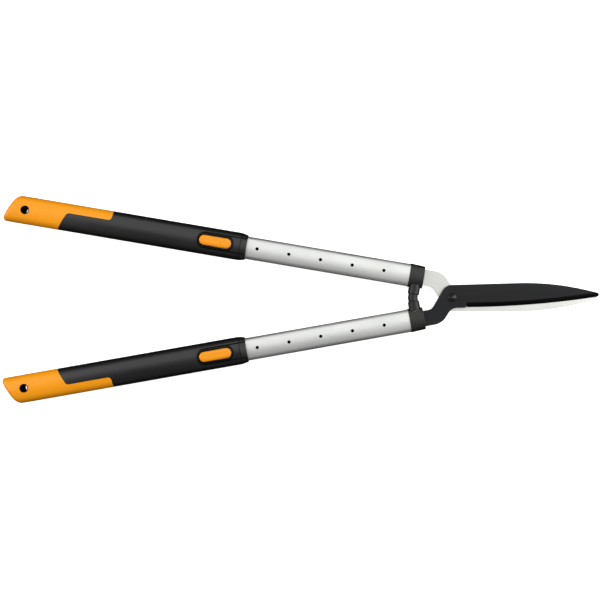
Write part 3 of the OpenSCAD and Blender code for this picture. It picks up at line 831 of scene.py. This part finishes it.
@dataclass(frozen=True)
class Arm:
    """A tube with its lock holes, the collar on its front end and the collar's rubber bumper."""

    handle: Handle
    oval: Oval = Oval(34.7, 19.0, 8.0)
    wall: float = 1.6
    collar_front: float = 48.0
    collar_rear: float = 70.3
    collar_step: float = 0.95
    collar_taper: float = 1.2
    collar_round: float = 0.5
    spigot_end: float = 106.3
    tang_end: float = 102.3
    tang_out: float = 0.8
    tang_width: float = 24.0
    tang_low: float = 0.15
    tang_thick: float = 3.2
    tube_end: float = 394.2
    first_hole: float = 110.2
    hole_pitch: float = 49.0
    hole_count: int = 6
    hole_radius: float = 2.5
    rivet_x: float = 90.3
    rivet_radius: float = 2.55
    bumper_x: float = 59.15
    bumper_start: float = 12.7
    bumper_radius: float = 8.7
    bumper_round: float = 1.1
    bumper_step: float = 28.12
    bumper_neck: float = 0.4
    bumper_tip: float = 7.4
    bumper_gap: float = 0.02
    fit: float = 0.05
    tube_edge: Edge = Edge(0.12, 2)
    collar_edge: Edge = Edge(0.18, 2)
    bumper_edge: Edge = Edge(0.08, 2, 50)

    def build(self) -> None:
        """Make the tube, the collar and the bumper, and carry the hidden pieces over."""
        self.tube()
        self.collar()
        self.bumper()
        keep(self.handle.node("rivet"), PLATED_STEEL)
        keep(self.handle.node("tail_guide"), INNER_PLASTIC)

    def tube(self) -> None:
        """Make the extruded tube with its lock holes."""
        inner = self.oval.grown(-self.wall)
        tube = loft(
            "tube",
            [
                ring(self.collar_rear, self.oval),
                ring(self.tube_end, self.oval),
                ring(self.tube_end, inner),
                ring(self.collar_rear, inner),
            ],
            looped=True,
        )
        holes = [
            prism("hole", circle(self.first_hole + i * self.hole_pitch, 0, self.hole_radius), 0, FAR)
            for i in range(self.hole_count)
        ]
        holes.append(prism("hole", circle(self.rivet_x, 0, self.rivet_radius), -FAR, 0))
        carve(tube, *((Cut.AWAY, hole) for hole in holes))
        self.handle.mount(tube, "tube", TUBE_ALUMINIUM, self.tube_edge)
        # Faces that look into the tube get a near-black colour as painted shade.
        paint(tube, TUBE_BORE_PAINTED_SHADE, lambda middle, normal: normal.yz.dot(middle.yz) < 0)

    def collar(self) -> None:
        """Make the moulded collar with its spigot, its slot for the tang and its seat for the bumper."""
        front = self.oval.grown(self.collar_step - self.collar_taper)
        rear = self.oval.grown(self.collar_step)
        spigot = self.oval.grown(-self.wall - self.fit)
        rings = [
            ring(self.collar_front + self.collar_round * short, front.grown(-self.collar_round * inward))
            for inward, short in reversed(quarter_round())
        ]
        rings += [
            ring(self.collar_rear, rear),
            ring(self.collar_rear, spigot),
            ring(self.spigot_end, spigot),
        ]
        collar = loft("collar", rings)
        low = self.tang_low if self.handle.side is Side.LOWER else -self.tang_low - self.tang_thick
        half = self.tang_width / 2 + self.fit
        room = block(
            "room",
            (self.collar_front - PAST, self.tang_end + self.fit),
            (self.tang_out - half, self.tang_out + half),
            (low - self.fit, low + self.tang_thick + self.fit),
        )
        seat = self.lathe([(self.bumper_radius + self.fit, d) for d in (self.bumper_start, FAR)])
        carve(collar, (Cut.AWAY, room), (Cut.AWAY, seat))
        self.handle.mount(collar, "collar", COLLAR_PLASTIC, self.collar_edge)

    def lathe(self, profile: Sequence[Point]) -> Object:
        """Turn a profile about the bumper's axis.

        Args:
            profile: Radius and distance from the handle's axis of each ring.

        Returns:
            The turned solid.
        """
        rings = [
            [Vector((x, -distance, z)) for x, z in circle(self.bumper_x, 0, radius)]
            for radius, distance in profile
        ]
        return loft("bumper", rings)

    def bumper(self) -> None:
        """Make the stepped rubber bumper, cut off where it meets the other handle's."""
        step, neck = self.bumper_step, self.bumper_tip - self.bumper_neck
        profile = [(self.bumper_radius, self.bumper_start + self.fit)]
        profile += [
            (self.bumper_radius - self.bumper_round * inward, step - self.bumper_round * short)
            for inward, short in quarter_round()
        ]
        profile += [(neck, step), (neck, step + self.bumper_neck)]
        profile += [
            (neck + self.bumper_neck * (1 - short), step + self.bumper_neck * (1 + inward))
            for inward, short in quarter_round()[1:]
        ]
        profile.append((self.bumper_tip, FAR))
        bumper = self.lathe(profile)
        to_handle = Handle(Side.LOWER).matrix().inverted()
        with edited(bumper.data) as mesh:
            cut = bmesh.ops.bisect_plane(
                mesh,
                geom=[*mesh.verts, *mesh.edges, *mesh.faces],
                plane_co=to_handle @ Vector((0, -self.bumper_gap / 2 * MM, 0)),
                plane_no=to_handle.to_3x3() @ Vector((0, 1, 0)),
                clear_outer=True,
            )
            rim = [part for part in cut["geom_cut"] if isinstance(part, bmesh.types.BMEdge)]
            bmesh.ops.contextual_create(mesh, geom=rim)
            bmesh.ops.recalc_face_normals(mesh, faces=mesh.faces)
        self.handle.mount(bumper, "bumper", BUMPER_RUBBER, self.bumper_edge)


# Section of a grip, and the lock's middle along the handle.
GRIP_OVAL = Oval(42.6, 31.0, 14.2)
LOCK_X = 370.7


@dataclass(frozen=True)
class Grip:
    """A grip: its orange core, the black sleeve over it, its nose and the eyelet of its hanging hole."""

    handle: Handle
    oval: Oval = GRIP_OVAL
    bore: Oval = Oval(35.3, 19.6, 8.3)
    front: float = 322.7
    core_front: float = 328.9
    nose_rear: float = 332.9
    nose_taper: float = 2.0
    nose_round: float = 1.0
    seam_width: float = 0.7
    seam_depth: float = 1.2
    sleeve: float = 2.2
    sleeve_end: float = 602.2
    straight_end: float = 673.25
    end: float = 691.0
    end_slant: float = math.tan(math.radians(24.6))
    end_round: float = 8.0
    bore_end: float = 644.4
    tongue: float = 70.6
    tongue_out: float = 5.4
    tongue_round: float = 5.5
    first_break: float = 15.0
    core_breaks: tuple[float, ...] = (590.0, 615.0, 634.0, 653.0)
    hang_x: float = 664.0
    hang_side: float = 0.7
    eyelet_radius: float = 6.65
    recess_x: float = LOCK_X
    seat_half_run: float = 16.95
    seat_width: float = 22.6
    recess_half_run: float = 15.8
    recess_width: float = 25.2
    line_y: float = 11.75
    line_width: float = 1.6
    line_depth: float = 1.3
    # Faces painted near black as shade: above a height, from behind the front edge to behind the lock,
    # and this steep.
    dark_low: float = 9.0
    dark_front: float = 2.0
    dark_rear: float = 30.0
    steep: float = 0.1
    slack: float = 0.01
    core_edge: Edge = Edge(0.14, 2)
    skin_edge: Edge = Edge(0.1, 2)
    eyelet_edge: Edge = Edge(0.3, 3)

    def build(self) -> None:
        """Make the four pieces."""
        self.core()
        self.sleeve_skin()
        self.nose()
        # The eyelet takes the same near-black colour: its own black nylon, darkened further as painted
        # shade inside the hole.
        refine(self.handle.node("hang_eyelet"), PAINTED_SHADE_NYLON, self.eyelet_edge)

    def orange_plan(self) -> Object:
        """Make the upright block that holds all that is orange."""
        slope, out, far = self.end_slant, self.tongue_out, self.oval.width
        tip = self.sleeve_end - self.tongue
        outline = rounded([
            ((self.sleeve_end + slope * far, -far), 0),
            ((self.sleeve_end - slope * out, out), self.tongue_round),
            ((tip, out), self.tongue_round),
            ((tip, far), 0),
            ((self.end + far, far), 0),
            ((self.end + far, -far), 0),
        ])
        return prism("orange_plan", outline, -FAR, FAR)

    def recess(self, half_run: float, width: float) -> Object:
        """Make the block that cuts the room for the lock's tray, with a straight run and a width."""
        return loft(
            "recess", [slot_ring(self.recess_x, half_run, width, lambda x, y, z=z: z) for z in (0, FAR)]
        )

    def panel_lines(self) -> list[Object]:
        """Make the blades that cut the two lines from the recess to the nose's front edge."""
        mouth = self.oval.grown(-self.nose_taper)
        start = self.recess_x - self.recess_half_run + self.line_width
        stations = [(self.front - PAST, mouth), (self.nose_rear, self.oval), (start, self.oval)]
        blades = []
        for y in (-self.line_y, self.line_y):
            sides = (y - self.line_width / 2, y + self.line_width / 2)
            rings = []
            for x, oval in stations:
                low = oval.height(y) - self.line_depth
                section = zip((*sides, *sides[::-1]), (low, low, FAR, FAR))
                rings.append([Vector((x, across, z)) for across, z in section])
            blades.append(loft("line", rings))
        return blades

    def in_groove(self, middle: Vector, normal: Vector) -> bool:
        """Tell whether a face lies in a panel line, in the seam or in the recess, where it gets painted
        shade.

        Args:
            middle: Middle of the face.
            normal: Its normal.

        Returns:
            Whether it does.
        """
        in_seam = -self.slack < self.nose_rear - middle.x < self.seam_width + self.slack
        if in_seam or middle.z <= self.dark_low:
            return in_seam
        near_lock = self.front + self.dark_front < middle.x < self.recess_x + self.dark_rear
        is_wall = near_lock and abs(normal.z) < self.steep
        deep = middle.z < self.oval.height(middle.y) - self.line_depth / 2
        in_line = deep and abs(abs(middle.y) - self.line_y) < self.line_width / 2
        return is_wall or in_line

    def core(self) -> None:
        """Make the core, which shows at the rear end and in the tongue beside the sleeve."""
        tip = self.sleeve_end - self.tongue
        stations = (tip - PAST, tip + self.first_break, *self.core_breaks, self.straight_end)
        rings = [ring(x, self.oval) for x in stations]
        bend = self.end_round
        rings += [
            ring(self.end - bend * short, self.oval.grown(-bend * inward), self.end_slant)
            for inward, short in quarter_round(2 * ROUND_STEPS)
        ]
        core = carve(loft("core", rings), (Cut.WITHIN, self.orange_plan()))
        carve(core, (Cut.JOIN, bar(self.oval.grown(-self.sleeve), self.core_front, self.straight_end)))
        hole = prism("hole", circle(self.hang_x, -self.hang_side, self.eyelet_radius), -FAR, FAR)
        carve(
            core,
            (Cut.AWAY, bar(self.bore, self.core_front - PAST, self.bore_end)),
            (Cut.AWAY, self.recess(self.seat_half_run, self.seat_width)),
            (Cut.AWAY, hole),
        )
        self.handle.mount(core, "grip_core", ORANGE_PLASTIC, self.core_edge)
        # The core's faces ahead of the tongue, under the sleeve, are painted near black as shade where
        # they show through the gaps.
        paint(core, PAINTED_SHADE_NYLON, lambda middle, _: middle.x < tip - PAST)

    def sleeve_skin(self) -> None:
        """Make the overmoulded sleeve."""
        skin = bar(self.oval, self.nose_rear, self.straight_end)
        inside = bar(self.oval.grown(-self.sleeve), self.nose_rear - PAST, self.straight_end + PAST)
        carve(
            skin,
            (Cut.AWAY, inside),
            (Cut.AWAY, self.orange_plan()),
            (Cut.AWAY, self.recess(self.recess_half_run, self.recess_width)),
            *((Cut.AWAY, line) for line in self.panel_lines()),
        )
        self.handle.mount(skin, "grip_sleeve", GRIP_RUBBER, self.skin_edge)
        # The seam, the panel lines and the recess walls are painted near black as shade, and all the
        # sleeve's rounded edges get the same painted shade.
        paint(skin, PAINTED_SHADE_NYLON, self.in_groove, edges=True)

    def nose(self) -> None:
        """Make the tapered nose that the tube slides through."""
        mouth = self.oval.grown(-self.nose_taper)
        rings = [
            ring(self.front + self.nose_round * short, mouth.grown(-self.nose_round * inward))
            for inward, short in reversed(quarter_round())
        ]
        floor = self.oval.grown(-self.seam_depth)
        seam = self.nose_rear - self.seam_width
        rings += [ring(seam, self.oval), ring(seam, floor), ring(self.nose_rear, floor)]
        nose = loft("nose", rings)
        carve(
            nose,
            (Cut.AWAY, bar(self.bore, self.front - PAST, self.nose_rear + PAST)),
            (Cut.AWAY, bar(self.oval.grown(-self.sleeve), self.core_front, self.nose_rear + PAST)),
            *((Cut.AWAY, line) for line in self.panel_lines()),
        )
        self.handle.mount(nose, "grip_nose", NOSE_PLASTIC, self.skin_edge)
        # The seam and the panel lines in the nose are painted near black as shade.
        paint(nose, PAINTED_SHADE_NYLON, self.in_groove)


@dataclass(frozen=True)
class Lock:
    """The rocking lock button in its tray, with its pins and leaf spring."""

    handle: Handle
    surface: Oval = GRIP_OVAL
    middle: float = LOCK_X
    half_run: float = 16.95
    width: float = 15.1
    rise: float = 0.3
    edge_in: float = 5.2
    edge_drop: float = 1.7
    dimple_depth: float = 0.35
    dimple_radius: float = 26.0
    blend: float = 0.12
    front_under: float = 10.5
    rear_under: float = 12.09
    rock_x: float = 379.2
    inset_step: float = 0.7
    rim_low: float = 28.5
    spring_keep: float = 0.35
    tray_edge: Edge = Edge(0.2, 2)
    button_edge: Edge = Edge(0.3, 2, 60)
    spring_edge: Edge = Edge(0.05, 2)

    def build(self) -> None:
        """Make the tray, the button and the leaf spring, and carry the hidden pins over."""
        tray = refine(self.handle.node("lock_tray"), TRAY_PLASTIC, self.tray_edge)
        # The tray's faces below its rim and all its rounded edges are painted near black as shade in the
        # groove round the button.
        paint(tray, PAINTED_SHADE_NYLON, lambda middle, _: middle.z < self.rim_low, edges=True)
        self.button()
        self.spring()
        for name in ("lock_pin", "button_pin"):
            keep(self.handle.node(name), GREASED_STEEL)

    def spring(self) -> None:
        """Make the leaf spring, with a mesh of its own."""
        node = self.handle.node("button_spring")
        spring = refine(node, GREASED_STEEL, self.spring_edge)
        self.handle.node("button_rock")
        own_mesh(spring)

    def top(self, x: float, y: float) -> float:
        """Height of the button's crown, with a finger dimple at each end.

        Args:
            x: Place along the handle.
            y: Place across the handle.

        Returns:
            The height.
        """
        crown = self.surface.grown(self.rise).height(y)
        floor = self.surface.thick / 2 + self.rise - self.dimple_depth
        for end in (-1, 1):
            away = (x - self.middle - end * self.half_run) ** 2 + y**2
            if away < self.dimple_radius**2:
                bowl = floor + self.dimple_radius - math.sqrt(self.dimple_radius**2 - away)
                mix = max(0.0, self.blend - abs(crown - bowl)) ** 2 / (4 * self.blend)
                crown = min(crown, bowl) - mix
        return crown

    def under(self, x: float, _: float) -> float:
        """Height of the button's underside, which is higher behind the cross pin."""
        return self.front_under if x < self.rock_x else self.rear_under

    def button(self) -> None:
        """Make the button from rings that close in from its wall to its crown."""
        insets = [(self.edge_in * inward, self.edge_drop * short) for inward, short in quarter_round()]
        inset = self.edge_in + self.inset_step
        while inset < self.width / 2 - self.inset_step / 2:
            insets.append((inset, 0.0))
            inset += self.inset_step
        rings = [slot_ring(self.middle, self.half_run, self.width, self.under)]
        rings += [
            slot_ring(
                self.middle,
                self.half_run,
                self.width - 2 * inset,
                lambda x, y, drop=drop: self.top(x, y) - drop,
            )
            for inset, drop in insets
        ]
        self.handle.mount(loft("button", rings), "lock_button", BUTTON_PLASTIC, self.button_edge)


@dataclass(frozen=True)
class Softbox:
    """A soft light that faces the shears.

    Attributes:
        name: Name of the light.
        place: Where it hangs.
        size: Its width and height.
        glow: Brightness of its face, where 1 is white.
    """

    name: str
    place: tuple[float, float, float]
    size: Point
    glow: float

    def build(self) -> None:
        """Hang the light."""
        data = bpy.data.lights.new(self.name, "AREA")
        data.shape = "RECTANGLE"
        data.size, data.size_y = self.size[0] * MM, self.size[1] * MM
        data.energy = self.glow * math.pi * data.size * data.size_y
        light = add_object(self.name, data)
        light.location = Vector(self.place) * MM
        light.rotation_euler = (-light.location).to_track_quat("-Z", "Y").to_euler()


@dataclass(frozen=True)
class Studio:
    """Floor, soft lights and the camera above, a little on the lower handle's side."""

    middle_height: float = 15.5
    camera_rise: float = 1500.0
    frame_width: float = 918.6
    sensor: float = 36.0
    aim: Point = (-1.65, -2.72)
    roll: float = math.radians(-0.185)
    lean: float = math.radians(1.8)
    floor_half: float = 6000.0
    wall_height: float = 4000.0
    sky_colour: str = "#f4f6f8"
    sky_heights: Point = (-0.1, 0.3)
    sky_strengths: Point = (0.02, 0.2)
    lights: tuple[Softbox, ...] = (
        Softbox("key_light", (315, 865, 1780), (3500, 2400), 1.05),
        Softbox("left_light", (-1900, 200, 1100), (1600, 1600), 3.6),
        Softbox("right_light", (1900, 200, 1100), (1600, 1600), 4.2),
    )

    def build(self) -> None:
        """Make the floor, the lights and the camera."""
        bpy.context.scene.view_settings.view_transform = "Standard"
        self.floor()
        self.sky()
        for light in self.lights:
            light.build()
        self.camera()

    def floor(self) -> None:
        """Lay the pale floor, with pale walls far out that let all the light pass."""
        half = self.floor_half
        around = ((-half, -half), (half, -half), (half, half), (-half, half))
        corners = [Vector((*corner, z)) for z in (0, self.wall_height) for corner in around]
        sides = [(i, (i + 1) % 4, (i + 1) % 4 + 4, i + 4) for i in range(4)]
        floor = mesh_object("floor", corners, [(0, 1, 2, 3), *sides])
        floor.data.materials.append(FLOOR_BOARD.material())
        floor.visible_diffuse = False
        floor.visible_glossy = False
        floor.visible_shadow = False

    def sky(self) -> None:
        """Fill the room above the floor with even light."""
        world = bpy.data.worlds.new("studio")
        bpy.context.scene.world = world
        world.use_nodes = True
        tree = world.node_tree
        tree.nodes.clear()
        way = add_node(tree, "ShaderNodeTexCoord").outputs["Generated"]
        height = add_node(tree, "ShaderNodeSeparateXYZ", links={"Vector": way}).outputs["Z"]
        ends = ("From Min", "From Max", "To Min", "To Max")
        strength = add_node(
            tree,
            "ShaderNodeMapRange",
            dict(zip(ends, self.sky_heights + self.sky_strengths)),
            {"Value": height},
            interpolation_type="SMOOTHSTEP",
        ).outputs["Result"]
        light = add_node(
            tree, "ShaderNodeBackground", {"Color": linear(self.sky_colour)}, {"Strength": strength}
        )
        add_node(tree, "ShaderNodeOutputWorld", links={"Surface": light.outputs["Background"]})

    def camera(self) -> None:
        """Hang the camera over the shears, looking nearly straight down."""
        data = bpy.data.cameras.new("camera")
        data.sensor_width = self.sensor
        data.lens = self.sensor * self.camera_rise / self.frame_width
        camera = add_object("camera", data)
        turn = Matrix.Rotation(self.lean, 4, "X") @ Matrix.Rotation(self.roll, 4, "Z")
        place = Vector((*self.aim, self.middle_height)) + turn @ Vector((0, 0, self.camera_rise))
        camera.matrix_world = Matrix.Translation(place * MM) @ turn
        bpy.context.scene.camera = camera


def write_sizes() -> None:
    """Bring the scene's placements up to date."""
    bpy.context.view_layer.update()


def main() -> None:
    """Build the studio and each sub-assembly in order."""
    logging.basicConfig(level=logging.INFO, format="%(message)s")
    Studio().build()
    Blades().build()
    Pivot().build()
    for side in Side:
        handle = Handle(side)
        Arm(handle).build()
        Grip(handle).build()
        Lock(handle).build()
    write_sizes()


if __name__ == "__main__":
    main()
